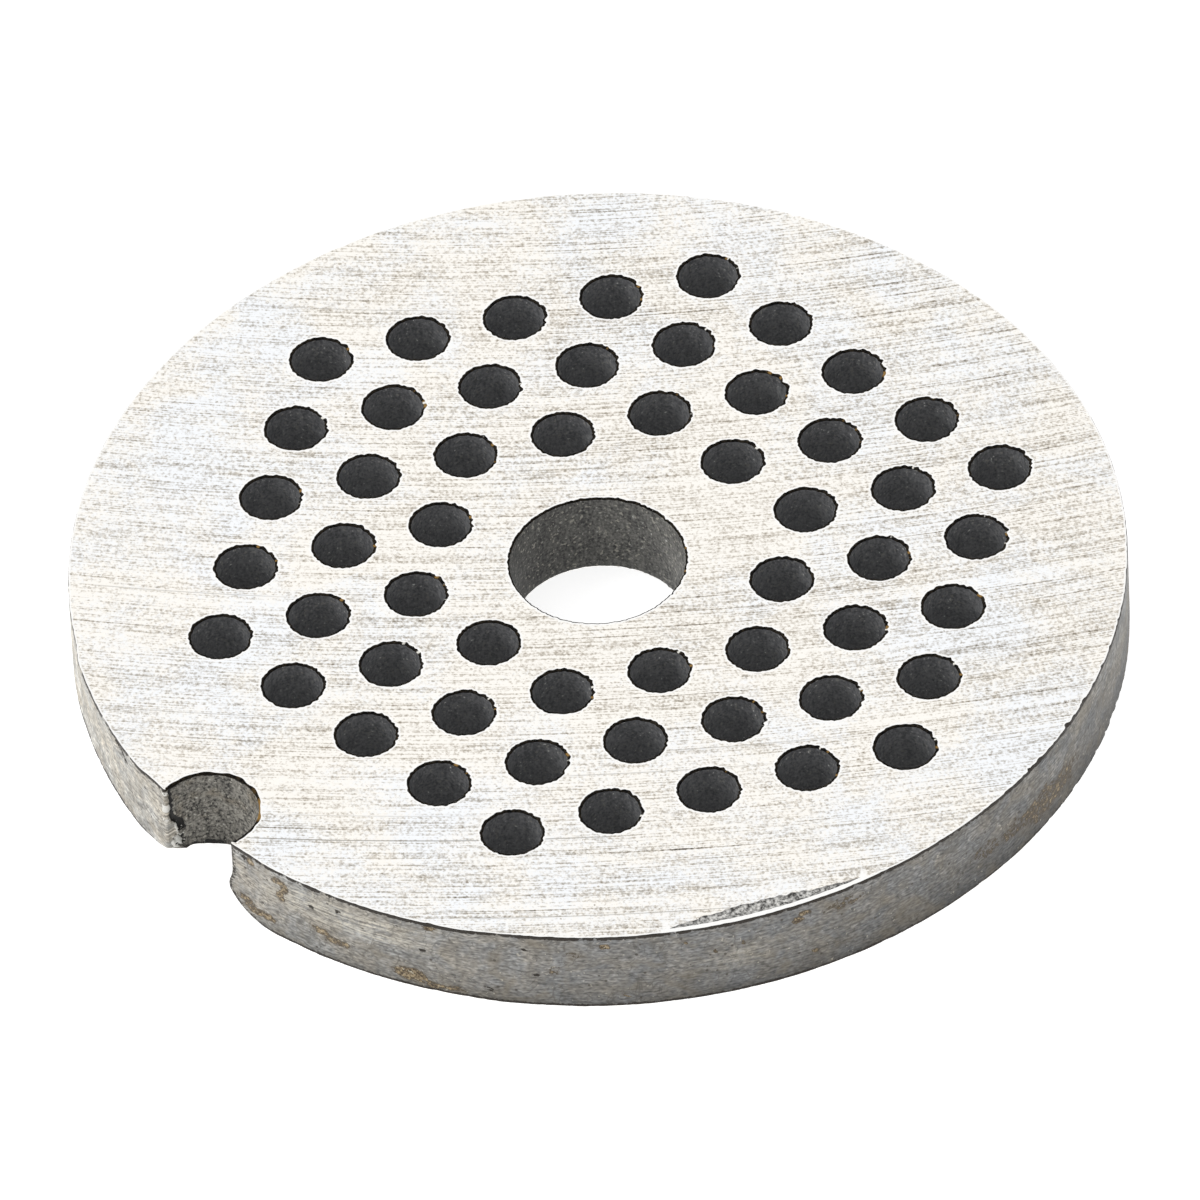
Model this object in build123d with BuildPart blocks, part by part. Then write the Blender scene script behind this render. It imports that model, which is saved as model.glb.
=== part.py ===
from build123d import *

import os
from math import hypot, isclose

# Meat grinder plate: the flat steel disc that the knife turns against, pierced all over for the meat.
# Millimetres, +Z up. The origin is on the bore's axis in the lower face. The notch opens towards -Y.

# Blank: a turned disc with both rims just broken
plate_diameter = 54.0
plate_thickness = 4.9
edge_break = 0.15

# Bore for the spindle that carries the knife
bore_diameter = 9.1

# Round-ended notch in the rim, which stops the plate from turning in the grinder's head
notch_width = 5.1
notch_depth = 3.45

# Meat holes: staggered rows that fill a hexagon around a plain hub
hole_diameter = 3.2
hole_pitch = 5.21
row_spacing = 4.44
rows_each_side = 4
# How far the hexagon's middle lies from the bore's axis, away from the notch
field_offset = 0.92
# Degrees from +X to the rows
field_turn = 4.5
# Least metal between a hole and the bore, the rim or the notch
least_land = 1.0

plate_radius = plate_diameter / 2
bore_radius = bore_diameter / 2
hole_radius = hole_diameter / 2
notch_radius = notch_width / 2
notch_centre_y = notch_depth - notch_radius - plate_radius


def keeps_its_land(centre):
    """Whether a hole at this point stays clear of the bore, the rim and the notch."""
    reach = hole_radius + least_land
    from_axis = hypot(centre.X, centre.Y)
    from_notch = hypot(centre.X, max(centre.Y - notch_centre_y, 0))
    clear_of_notch = from_notch >= notch_radius + reach
    return clear_of_notch and bore_radius + reach <= from_axis <= plate_radius - reach


def hole_centres():
    """Centres of the meat holes, row by row. Rows get one hole shorter with each step from the middle."""
    centres = []
    for row in range(-rows_each_side, rows_each_side + 1):
        count = 2 * rows_each_side + 1 - abs(row)
        for column in range(count):
            along = (column - (count - 1) / 2) * hole_pitch
            place_in_field = Vector(along, row * row_spacing).rotate(Axis.Z, field_turn)
            centre = place_in_field + Vector(0, field_offset)
            if keeps_its_land(centre):
                centres.append(centre)
    return centres


os.makedirs("parts", exist_ok=True)

with BuildPart() as grinder_plate:
    with BuildSketch() as outline:
        Circle(plate_radius)
        with Locations((0, notch_centre_y)):
            Circle(notch_radius, mode=Mode.SUBTRACT)
            Rectangle(
                notch_width, notch_depth, align=(Align.CENTER, Align.MAX), mode=Mode.SUBTRACT
            )
    extrude(amount=plate_thickness)

    arcs = grinder_plate.edges().filter_by(GeomType.CIRCLE)
    rims = arcs.filter_by(lambda arc: isclose(arc.radius, plate_radius))
    chamfer(rims, length=edge_break)

    Hole(bore_radius)
    with Locations(*hole_centres()):
        Hole(hole_radius)

grinder_plate.part.label = "grinder_plate"
export_step(grinder_plate.part, "parts/grinder_plate.step")
print(len(hole_centres()), "meat holes")
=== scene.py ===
import random
from math import atan2, ceil, cos, degrees, exp, hypot, pi, radians, sin, sqrt

import bpy
from mathutils import Matrix, Vector, noise
from mathutils.geometry import delaunay_2d_cdt


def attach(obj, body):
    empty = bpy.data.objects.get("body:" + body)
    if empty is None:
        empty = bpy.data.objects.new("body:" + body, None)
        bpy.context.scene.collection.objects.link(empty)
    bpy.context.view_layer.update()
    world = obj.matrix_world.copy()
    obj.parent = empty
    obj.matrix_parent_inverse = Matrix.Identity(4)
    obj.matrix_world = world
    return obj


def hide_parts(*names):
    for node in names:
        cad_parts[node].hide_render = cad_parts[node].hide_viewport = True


# A used meat grinder plate: the CAD disc again, with its worn edges, ground faces, drilled holes and rust.
# Lengths are in millimetres and angles in degrees from +X, in the CAD model's frame, until a mesh is made.

MM = 0.001
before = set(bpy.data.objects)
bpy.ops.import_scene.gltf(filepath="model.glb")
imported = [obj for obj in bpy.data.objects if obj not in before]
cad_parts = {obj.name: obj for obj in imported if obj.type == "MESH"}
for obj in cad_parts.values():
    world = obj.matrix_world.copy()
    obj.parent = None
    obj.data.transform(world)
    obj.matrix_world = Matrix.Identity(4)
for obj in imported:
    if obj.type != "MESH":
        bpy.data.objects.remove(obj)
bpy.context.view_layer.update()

# ---- The plate, as in the CAD model ----

PLATE_RADIUS = 27.0
THICKNESS = 4.9
BORE_RADIUS = 4.55
NOTCH_RADIUS = 2.55
NOTCH_CENTRE_Y = -26.1
HOLE_RADIUS = 1.6
HOLE_PITCH = 5.21
ROW_SPACING = 4.44
ROWS_EACH_SIDE = 4
FIELD_OFFSET = 0.92
FIELD_TURN = 4.5
LEAST_LAND = 1.0

# ---- Wear that has a shape ----

# Where the arcs of the grinding wheel are centred, far outside the plate, and the radius of the middle one
GRIND_CENTRE = (-103.3, 85.2)
GRIND_RADIUS = 134.0

# The wheel's deepest scratches, as arcs about that centre: radius, start, end, half width, strength
SCRATCHES = [
    (153.75, -46.6, -38.8, 0.050, 0.62),
    (149.30, -40.5, -35.8, 0.045, 0.42),
    (159.30, -42.4, -36.2, 0.050, 0.40),
    (136.45, -50.6, -45.5, 0.045, 0.40),
    (147.85, -38.5, -33.8, 0.045, 0.36),
    (152.00, -45.9, -41.3, 0.040, 0.34),
    (145.05, -49.7, -44.9, 0.040, 0.34),
    (115.40, -48.7, -41.9, 0.045, 0.32),
]

# Over how many degrees a scratch comes in at its start, and goes out before its end
SCRATCH_IN = 0.5
SCRATCH_OUT = 1.5

# How light the face is at the left and at the right of the photograph: painted shade, darker away from the
# light
FACE_SHADE_TONE = (0.945, 0.855)

# The strip by the rim that the grinding never reached: its ends, its outer edge, its width and its depth
RAW_START = -33.3
RAW_END = -11.3
RAW_OUTER_RADIUS = 26.73
RAW_WIDTH = 0.72
RAW_DEPTH = 0.06
RAW_GRIT = 0.05

# Nicks in the face's rim: angle, half width, depth, how far down the wall they reach
RIM_NICKS = [
    (20.8, 0.16, 0.22, 0.35),
    (13.1, 0.12, 0.12, 0.20),
    (-59.4, 0.20, 0.07, 0.30),
    (30.5, 0.14, 0.09, 0.20),
    (116.8, 0.18, 0.16, 0.30),
]

# Pits in the wall that stand alone: angle, height, half width, depth
WALL_PITS = [
    (-73.6, 3.33, 0.15, 0.09),
    (-70.2, 3.80, 0.16, 0.10),
    (-60.4, 2.71, 0.17, 0.08),
    (-49.0, 3.86, 0.14, 0.07),
    (-53.0, 0.79, 0.16, 0.08),
    (-47.8, 2.12, 0.14, 0.06),
    (-82.6, 4.45, 0.20, 0.08),
    (-105.2, 4.60, 0.20, 0.12),
    (-104.5, 4.47, 0.21, 0.14),
    (-103.8, 4.30, 0.19, 0.13),
    (-103.2, 4.06, 0.17, 0.11),
]

# How many times longer round the rim than up the wall a pit is
PIT_STRETCH = 1.5

# Rust on the wall: angle, height, half length along the rim, half height, strength
RUST_SPOTS = [
    (-81.7, 4.45, 0.35, 0.22, 0.9),
    (-82.6, 1.45, 0.45, 0.25, 0.75),
    (-80.6, 1.00, 0.90, 0.28, 0.75),
    (-78.0, 4.20, 0.40, 0.25, 0.72),
    (-76.9, 3.85, 0.28, 0.45, 0.72),
    (-77.5, 3.15, 0.26, 0.45, 0.75),
    (-72.6, 1.80, 0.45, 0.25, 0.8),
    (-70.4, 1.50, 0.70, 0.18, 0.7),
    (-62.0, 0.85, 0.80, 0.45, 1.0),
    (-58.5, 0.40, 1.00, 0.18, 0.8),
    (-59.4, 4.62, 0.35, 0.15, 0.7),
    (-40.3, 4.26, 0.30, 0.16, 0.9),
    (-46.1, 2.53, 0.50, 0.40, 0.3),
    (-43.8, 3.64, 0.60, 0.30, 0.3),
    (-38.4, 0.75, 0.10, 0.10, 1.0),
    (-18.3, 4.20, 0.34, 0.16, 0.85),
    (-19.1, 3.85, 0.30, 0.20, 0.8),
    (-31.7, 4.03, 0.10, 0.10, 0.9),
    (-28.5, 3.11, 0.12, 0.12, 0.9),
    (-25.5, 3.29, 0.10, 0.10, 0.8),
    (-29.1, 2.04, 0.10, 0.10, 0.8),
    (-17.3, 1.34, 0.22, 0.15, 0.7),
    (-13.8, 3.90, 1.60, 0.38, 0.35),
    (5.5, 2.10, 1.20, 0.60, 0.34),
    (16.5, 1.70, 2.80, 0.90, 0.50),
    (10.5, 1.90, 1.80, 0.70, 0.36),
]

# Where a rust spot is gone and where it is whole, as shares of its half sizes, and how far that wanders
RUST_FADE = (1.5, 0.5)
RUST_WANDER = 0.5

# Where the wall is out of true: start, end, how far out its top stands there, and its foot
LEANS = [
    (-121.0, -96.5, 0.17, -0.05),
    (-83.0, -52.0, 0.10, -0.05),
    (-46.0, 45.0, 0.02, 0.04),
]

# Over how many degrees a lean comes in and goes out, and between what heights its foot turns to its top
LEAN_FADE = 4
LEAN_HEIGHTS = (2.2, 4.7)

# Where the wall is scored light: start, end, the heights between, strength
SCORED = [
    (-81.0, -57.0, 2.3, 4.5, 1.0),
    (-33.0, -16.0, 1.5, 3.4, 0.35),
]

# How far inside its start and its end (degrees), and its foot and its top, the scoring is whole
SCORED_FADES = (4, 9, 0.5, 0.4)

# The wall's right-hand side, where it is most frayed, and its left-hand side: start, end, fade inside them
RIGHT_SIDE = (2, 44, 8)
LEFT_SIDE = (-160, -98, 20)

# The black lines along the wall's two edges: how far from the edge they are gone, and where they are whole
RIM_LINE = (0.29, 0.08)
NOTCH_LINE = (0.28, 0.10)
NOTCH_FOOT_LINE = (0.40, 0.10)

# How far up the rim's foot line runs, how much farther on the left, and the share of it that is whole
FOOT_LINE = 0.30
FOOT_LINE_LEFT = 0.22
FOOT_LINE_WHOLE = 0.3

# The notch's mouth: how far its lower corners are knocked round, and how high up that starts
SHARP_CORNER = 0.12
WORN_CORNERS = {1: (2.6, 2.0), -1: (1.1, 1.2)}

# How far the foot of the left corner is knocked in and up, to what heights, and between what angles
KNOCK = 0.14
KNOCK_HEIGHT = 1.0
KNOCK_START = -102
KNOCK_END = -96.5
KNOCK_LIFT = 0.20
LIFT_HEIGHT = 0.8
LIFT_REACH = 1.1

# The lip that the right corner leans into the notch: how far, at what height, its half height and length
LIP = 0.34
LIP_HEIGHT = 1.80
LIP_REACH = 0.85
LIP_LENGTH = 1.1

# The torn left corner of the mouth: how far round it the bare metal is dragged above TEAR_TOP and at
# TEAR_FOOT; the black gouge beside it, its black a painted shadow, its width there, and its depth; and how
# far the crumbs below reach
TEAR_TOP = 3.1
TEAR_FOOT = 1.4
TEAR_HIGH = 0.10
TEAR_LOW = 0.66
GOUGE_HIGH = 0.22
GOUGE_LOW = 0.54
GOUGE_DEPTH = 0.18
CRUMBS_FOOT = 0.45
CRUMBS_REACH = 1.15

# How bare the crumbs are, how black with painted shadow, how much they differ, and how far the bare metal
# stands out
CRUMBS_BARE = 0.42
CRUMBS_SHADOW = 0.25
CRUMBS_SWING = 1.6
LUMP = 0.10

# The ragged edges of the holes: how far they wander, and the side where the burr hangs
FRAY = 0.10
BURR_SIDE = 75

# ---- How finely the mesh is cut ----

RIM_POINTS = 1000
CORNER_POINTS = 12
NOTCH_POINTS = 120
HOLE_POINTS = 120
BORE_POINTS = 240
FACE_SPACING = 1.1
RAW_SPACING = 0.13

# Points nearer to each other than this count as one
SAME_POINT = 1e-7

# How far a face's loose points keep from the rim, the notch and the holes, and stray from even rows
FILLER_FROM_RIM = 1.4
FILLER_FROM_NOTCH = 0.7
FILLER_FROM_HOLE = 0.5
FILLER_STRAY = 0.15

# ---- Materials' slots on the mesh ----

# The black edge slot is a dark burr with painted shadow
GROUND, TURNED, SAWN, DRILLED, BORED, BURR_AND_SHADOW, RAW = range(7)


def smooth(low, high, value):
    """0 below low, 1 above high, and an even curve between."""
    t = min(max((value - low) / (high - low), 0.0), 1.0)
    return t * t * (3 - 2 * t)


def bump(distance, reach):
    """1 at no distance, falling to about 0 at twice the reach."""
    return exp(-(distance / reach) ** 2 * 1.5)


def within(value, start, end, fade):
    """0 beyond start and end, and 1 farther inside them than the fade."""
    return smooth(start, start + fade, value) * smooth(end, end - fade, value)


def rough(x, y, z, seed):
    """Smooth noise from about -1 to 1. A seed moves it, and larger x, y and z make it finer."""
    return noise.noise(Vector((x + 17.3 * seed, y - 9.1 * seed, z + 5.7 * seed)))


def round_the_rim(first, second):
    """How far apart two directions are, measured along the rim."""
    return radians(abs((first - second + 180) % 360 - 180)) * PLATE_RADIUS


def keeps_its_land(centre):
    """Whether a meat hole at this point leaves enough metal to the bore, the rim and the notch."""
    reach = HOLE_RADIUS + LEAST_LAND
    from_notch = hypot(centre.x, max(centre.y - NOTCH_CENTRE_Y, 0))
    in_ring = BORE_RADIUS + reach <= centre.length <= PLATE_RADIUS - reach
    return in_ring and from_notch >= NOTCH_RADIUS + reach


def hole_centres():
    """The meat holes, row by row."""
    turn = Matrix.Rotation(radians(FIELD_TURN), 2)
    centres = []
    for row in range(-ROWS_EACH_SIDE, ROWS_EACH_SIDE + 1):
        count = 2 * ROWS_EACH_SIDE + 1 - abs(row)
        for column in range(count):
            along = (column - (count - 1) / 2) * HOLE_PITCH
            centre = turn @ Vector((along, row * ROW_SPACING)) + Vector((0, FIELD_OFFSET))
            if keeps_its_land(centre):
                centres.append(centre)
    return centres


# ---- One mesh from rings, bands and flat patches ----


class Shell:
    """Points, faces and the wear at each point, gathered until they become one mesh."""

    # The grime wear also carries painted shadow in the torn corner
    WEAR = ("rust", "grime_and_shadow", "bare", "halo")

    def __init__(self):
        self.points = []
        self.wear = []
        self.faces = []
        self.slots = []
        self.flat = []

    def point(self, x, y, z, rust=0.0, grime_and_shadow=0.0, bare=0.0, halo=0.0):
        self.points.append((x, y, z))
        self.wear.append((rust, grime_and_shadow, bare, halo))
        return len(self.points) - 1

    def face(self, corners, slot, flat=False):
        self.faces.append(corners)
        self.slots.append(slot)
        self.flat.append(flat)

    def band(self, upper, lower, slot_of, flat=False):
        """Quads between two rings of as many points each. slot_of gives the slot of quad number i."""
        count = len(upper)
        for i in range(count):
            j = (i + 1) % count
            self.face((upper[i], lower[i], lower[j], upper[j]), slot_of(i), flat)

    def middle(self, corners):
        """The middle of a triangle, seen from above."""
        return sum((Vector(self.points[c][:2]) for c in corners), Vector((0, 0))) / 3

    def patch(self, rim, holes, loose, up, strip=()):
        """A face inside the ring rim and outside the rings in holes. The ring strip holds unground metal."""
        rings = [rim] + holes + ([strip] if strip else [])
        ids = [i for ring in rings for i in ring] + loose
        place = {point: k for k, point in enumerate(ids)}
        flat_points = [Vector(self.points[i][:2]) for i in ids]
        edges = []
        for ring in rings:
            for a, b in zip(ring, ring[1:] + ring[:1]):
                edges.append((place[a], place[b]))
        # Kind 0 keeps the triangles outside the rim and inside the holes as well
        found = delaunay_2d_cdt(flat_points, edges, [], 0, SAME_POINT)
        places, triangles, sources = found[0], found[2], found[3]
        owner = {}
        for number, ring in enumerate([rim] + holes):
            for i in ring:
                owner[i] = number
        outer_border = [Vector(self.points[i][:2]) for i in rim]
        border = [Vector(self.points[i][:2]) for i in strip]
        around_strip = set(strip)
        for triangle in triangles:
            corners = [ids[sources[k][0]] for k in triangle]
            number = owner.get(corners[0], -1)
            if number >= 0 and all(owner.get(c, -1) == number for c in corners):
                # All its corners are on one ring: it goes if that is a hole, or if it lies outside the rim
                if number > 0 or not inside(outer_border, self.middle(corners)):
                    continue
            a, b, c = (places[k] for k in triangle)
            counter_clockwise = (b - a).cross(c - a) > 0
            if counter_clockwise != up:
                corners.reverse()
            raw = all(c in around_strip or self.points[c][2] < THICKNESS for c in corners) and up
            raw = raw and inside(border, self.middle(corners))
            self.face(tuple(corners), RAW if raw else GROUND, flat=not raw)

    def build(self, name, materials):
        mesh = bpy.data.meshes.new(name)
        mesh.from_pydata([Vector(p) * MM for p in self.points], [], self.faces)
        for material in materials:
            mesh.materials.append(material)
        mesh.polygons.foreach_set("material_index", self.slots)
        mesh.polygons.foreach_set("use_smooth", [not flat for flat in self.flat])
        for k, kind in enumerate(self.WEAR):
            layer = mesh.attributes.new(kind, "FLOAT", "POINT")
            layer.data.foreach_set("value", [wear[k] for wear in self.wear])
        mesh.validate()
        mesh.update()
        piece = bpy.data.objects.new(name, mesh)
        bpy.context.scene.collection.objects.link(piece)
        return piece


def inside(border, point):
    """Whether a point lies inside a closed border."""
    crossings = 0
    for a, b in zip(border, border[1:] + border[:1]):
        if (a.y > point.y) != (b.y > point.y):
            crossings += point.x < a.x + (point.y - a.y) * (b.x - a.x) / (b.y - a.y)
    return crossings % 2 == 1


# ---- The edge of the plate: rim, mouth and notch in one loop ----


def worn_corner(side, z):
    """The radius of the mouth's corner on that side, at height z."""
    radius, height = WORN_CORNERS[side]
    return SHARP_CORNER + (radius - SHARP_CORNER) * max(1 - z / height, 0) ** 3


def corner_centre(side, radius):
    """The centre of the arc that rounds the mouth's corner on that side."""
    reach = PLATE_RADIUS - radius
    x = NOTCH_RADIUS + radius
    y = -sqrt(reach ** 2 - x ** 2)
    if y > NOTCH_CENTRE_Y:
        # It is so wide that it meets the notch's round end, and not its straight side
        y = (reach ** 2 - x ** 2 + NOTCH_CENTRE_Y ** 2) / (2 * NOTCH_CENTRE_Y)
        x = sqrt(reach ** 2 - y ** 2)
    return Vector((side * x, y))


def arc(centre, radius, start, end, count, outward=1):
    """Points on an arc, without its last, each with its outward direction. Angles are in radians."""
    steps = [start + (end - start) * i / count for i in range(count)]
    return [(centre + radius * Vector((cos(a), sin(a))), outward * Vector((cos(a), sin(a)))) for a in steps]


def notch_path(ends, angles, count):
    """Down one side of the notch, round its end and up the other side, in even steps."""
    middle = Vector((0, NOTCH_CENTRE_Y))
    start, finish = angles
    straight = [max(NOTCH_CENTRE_Y - end.y, 0) for end in ends]
    bend = (start - finish) * NOTCH_RADIUS
    length = straight[0] + bend + straight[1]
    path = []
    for i in range(count):
        run = length * i / count
        if run < straight[0]:
            path.append((Vector((-NOTCH_RADIUS, ends[0].y + run)), Vector((1, 0))))
        elif run < straight[0] + bend:
            a = start - (run - straight[0]) / NOTCH_RADIUS
            out = Vector((cos(a), sin(a)))
            path.append((middle + NOTCH_RADIUS * out, -out))
        else:
            down = run - straight[0] - bend
            path.append((Vector((NOTCH_RADIUS, NOTCH_CENTRE_Y - down)), Vector((-1, 0))))
    return path


def outline(z):
    """The plate's edge at height z, counter-clockwise from the notch's right corner: (point, outward)."""
    corner = {}
    for side in (1, -1):
        radius = worn_corner(side, z)
        centre = corner_centre(side, radius)
        at_rim = atan2(centre.y, centre.x)
        to_end = Vector((0, NOTCH_CENTRE_Y)) - centre
        meets_end = centre.y > NOTCH_CENTRE_Y
        at_notch = atan2(to_end.y, to_end.x) if meets_end else (pi if side > 0 else 0)
        if side > 0:
            at_notch %= 2 * pi
        touch = centre + radius * Vector((cos(at_notch), sin(at_notch)))
        from_end = touch - Vector((0, NOTCH_CENTRE_Y))
        end_angle = atan2(from_end.y, from_end.x) if meets_end else (0 if side > 0 else pi)
        corner[side] = (centre, radius, at_rim, at_notch, touch, end_angle)
    right, left = corner[1], corner[-1]
    rim_start = right[2]
    rim_end = left[2] + 2 * pi
    loop = arc(Vector((0, 0)), PLATE_RADIUS, rim_start, rim_end, RIM_POINTS)
    loop += arc(left[0], left[1], rim_end, left[3] + 2 * pi, CORNER_POINTS)
    loop += notch_path((left[4], right[4]), (left[5] % (2 * pi), right[5]), NOTCH_POINTS)
    loop += arc(right[0], right[1], right[3] - 2 * pi, rim_start, CORNER_POINTS)
    return loop


# The way round the notch's wall
MOUTH_Y = -sqrt(PLATE_RADIUS ** 2 - NOTCH_RADIUS ** 2)
NOTCH_LENGTH = pi * NOTCH_RADIUS + 2 * (NOTCH_CENTRE_Y - MOUTH_Y)

# Where each part of the loop ends
RIM_END = RIM_POINTS
LEFT_END = RIM_END + CORNER_POINTS
NOTCH_END = LEFT_END + NOTCH_POINTS

# The broken edges: distance from the face, and how far the wall stands back there
TOP_STEPS = [(0.0, 0.035), (0.02, 0.015), (0.05, 0.005), (0.11, 0.0)]
LOW_STEPS = [(0.0, 0.035), (0.03, 0.01), (0.08, 0.0)]
WALL_RINGS = 30
# How many bands of the top edge can take the black line of dark burr and painted shadow
BURR_AND_SHADOW_BANDS = len(TOP_STEPS) - 1
RINGS = [(THICKNESS - drop, back) for drop, back in TOP_STEPS]
WALL_TOP = THICKNESS - TOP_STEPS[-1][0]
WALL_BOTTOM = LOW_STEPS[-1][0]
for ring in range(1, WALL_RINGS):
    RINGS.append((WALL_TOP + (WALL_BOTTOM - WALL_TOP) * ring / WALL_RINGS, 0.0))
RINGS += [(drop, back) for drop, back in reversed(LOW_STEPS)]

# The polished line on the face beside its edge, beside the unground strip, and by the mouth's corners
HALO_WIDTH = 0.15
STRIP_HALO_WIDTH = 0.08
LEAST_HALO = 0.01

# How black the right corner of the mouth is at least
RIGHT_CORNER_BLACKNESS = 0.45


def rim_wear(point, z, back):
    """How far the outer wall stands in or out at a point, and its rust and its grime."""
    angle = degrees(atan2(point.y, point.x))
    x, y = point
    depth = THICKNESS - z
    on_right = within(angle, *RIGHT_SIDE)
    on_left = within(angle, *LEFT_SIDE)
    # Slow swells, turning marks that run round the wall, and grain
    shift = 0.014 * rough(x * 0.35, y * 0.35, z * 0.5, 1)
    shift += 0.010 * rough(x * 0.25, y * 0.25, z * 3.5, 2)
    shift += 0.006 * rough(x * 2.2, y * 2.2, z * 2.2, 3)
    for start, end, top, foot in LEANS:
        share = within(angle, start, end, LEAN_FADE)
        shift += share * (foot + (top - foot) * smooth(*LEAN_HEIGHTS, z))
    # The mouth's left corner is knocked in at its foot
    if KNOCK_START < angle < -90:
        shift -= KNOCK * smooth(KNOCK_HEIGHT, 0.0, z) * smooth(KNOCK_START, KNOCK_END, angle)
    # The edges are broken unevenly, a little frayed along the face and the foot
    shift -= back * (0.75 + 0.7 * rough(x * 0.8, y * 0.8, z, 4))
    edge = smooth(0.35, 0.0, min(z, depth))
    shift -= edge * (0.05 + 0.08 * on_right) * max(rough(x * 3.6, y * 3.6, z * 2, 5), 0)
    grime_and_shadow = 0.0
    for place, width, deepest, drop in RIM_NICKS:
        dent = bump(round_the_rim(angle, place), width) * smooth(drop, 0, depth)
        shift -= deepest * dent
        grime_and_shadow = max(grime_and_shadow, dent)
    for place, height, width, deepest in WALL_PITS:
        dent = bump(hypot(round_the_rim(angle, place) / PIT_STRETCH, z - height), width)
        shift -= deepest * dent
        grime_and_shadow = max(grime_and_shadow, dent)
    rust = 0.0
    wander = RUST_WANDER * rough(x * 1.6, y * 1.6, z * 1.6, 6)
    for place, height, length, tall, strength in RUST_SPOTS:
        spread = hypot(round_the_rim(angle, place) / length, (z - height) / tall)
        rust = max(rust, strength * smooth(*RUST_FADE, spread + wander))
    # The edges' black lines, which run raggedly down and up the wall
    strength = 0.95 + 0.7 * on_right - 0.30 * on_left
    strength += rough(x * 2.4, y * 2.4, 0, 7) + 0.6 * rough(x * 0.7, y * 0.7, 0, 9)
    line = smooth(*RIM_LINE, depth) * strength
    reach = FOOT_LINE + FOOT_LINE_LEFT * on_left
    foot_line = smooth(reach, FOOT_LINE_WHOLE * reach, z) * (0.85 + 0.5 * rough(x * 2.4, y * 2.4, 0, 8))
    return shift, rust, max(grime_and_shadow, line, foot_line)


def notch_wear(point, z, back):
    """The same for the notch's sawn wall, which is streaked up and down."""
    x, y = point
    depth = THICKNESS - z
    # How far to the right it is: -1 on the left wall and 1 on the right
    across = x / NOTCH_RADIUS
    shift = 0.020 * rough(x * 2.5, y * 2.5, z * 0.3, 11)
    shift += 0.012 * rough(x * 5, y * 5, z * 3, 12)
    if z > 1:
        # The upper edge is broken most by the right side of the mouth
        near_right = smooth(0.3, 0.8, across) * smooth(-24.4, -24.9, y)
        shift -= back * (3.4 + 2.8 * rough(x * 2, y * 2, z, 13) + 1.6 * near_right)
    else:
        shift += (0.05 + 0.08 * smooth(-0.3, -1.9, x)) * smooth(0.6, 0.0, z)
    # Golden rust on the right side of the notch's end, under the face, and patches on the upper half
    rust = 0.9 * smooth(0.35, 0.55, across) * smooth(0.5, 0, depth) * smooth(-25.0, -24.5, y)
    rust += 0.35 * smooth(0.0, 0.5, rough(x * 1.4, y * 1.4, z * 1.4, 14)) * smooth(1.2, 2.4, z)
    line = smooth(*NOTCH_LINE, depth) * (0.35 + 0.8 * rough(x * 2.4, y * 2.4, 0, 15))
    foot_line = smooth(*NOTCH_FOOT_LINE, z) * (0.6 + 0.8 * rough(x * 2.4, y * 2.4, 0, 16))
    return shift, rust, max(line, foot_line)


def from_corner(i, side):
    """How far point i of a loop lies past that side's corner of the mouth, on the notch's side of it."""
    rim_step = 2 * pi * PLATE_RADIUS / RIM_POINTS
    notch_step = NOTCH_LENGTH / NOTCH_POINTS
    if side < 0:
        return max(i - LEFT_END, 0) * notch_step + min(i - RIM_END, 0) * rim_step
    if i >= LEFT_END:
        return max(NOTCH_END - i, 0) * notch_step
    return -i * rim_step


def dragged_to(z):
    """How far round the left corner the wall's metal is dragged, at height z."""
    reach = TEAR_HIGH + (TEAR_LOW - TEAR_HIGH) * smooth(TEAR_TOP, TEAR_FOOT, z)
    reach -= (TEAR_LOW - 0.25) * smooth(TEAR_FOOT, TEAR_FOOT - 0.5, z)
    return reach + 0.09 * rough(z * 2.6, 0, 0, 21) + 0.10 * rough(z * 6.5, 0, 0, 22)


def tear(i, z):
    """The torn left corner of the mouth: how far it stands out, how black it is with painted shadow, and how
    bare.
    """
    past = from_corner(i, -1)
    if not -0.5 < past < 2.0:
        return 0.0, 0.0, 0.0
    # It fades out towards the foot and towards the face
    level = smooth(0.2, 0.6, z) * smooth(THICKNESS, THICKNESS - 0.3, z)
    edge = dragged_to(z)
    gouge = GOUGE_HIGH + (GOUGE_LOW - GOUGE_HIGH) * smooth(TEAR_TOP + 0.2, TEAR_FOOT + 0.5, z)
    gouge += 0.10 * rough(z * 5, 5, 0, 26)
    above = smooth(TEAR_FOOT - 0.10, TEAR_FOOT + 0.05, z)
    bare = smooth(edge + 0.05, edge, past) * smooth(edge - 0.17, edge - 0.08, past)
    bare *= smooth(-0.30, 0.10, rough(z * 4.0, 2, 0, 25))
    # Painted shadow: black in the gouge beside the dragged metal
    torn_shadow = above * smooth(edge, edge + 0.06, past) * smooth(edge + gouge + 0.08, edge + gouge - 0.04, past)
    crumbs = smooth(TEAR_FOOT + 0.05, TEAR_FOOT - 0.15, z) * smooth(CRUMBS_FOOT - 0.2, CRUMBS_FOOT + 0.1, z)
    crumbs *= smooth(CRUMBS_REACH, 0.7 * CRUMBS_REACH, past) * smooth(0.0, 0.15, past)
    crumb = CRUMBS_SWING * rough(past * 5.0, 3, z * 5.0, 23)
    bare = max(bare, crumbs * (CRUMBS_BARE + crumb)) * level
    # Painted shadow between the bare crumbs
    torn_shadow = max(torn_shadow, crumbs * (CRUMBS_SHADOW - crumb)) * level
    lump = LUMP * bare * (1 + rough(past * 6, 0, z * 6, 24))
    deep = GOUGE_DEPTH * bump(z - TEAR_FOOT - 0.3, 0.9) + 0.06
    return lump - deep * torn_shadow, torn_shadow, bare


def lip(i, z):
    """How far the right corner of the mouth leans into the notch."""
    return LIP * bump(z - LIP_HEIGHT, LIP_REACH) * smooth(LIP_LENGTH, 0.0, abs(from_corner(i, 1)))


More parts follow.
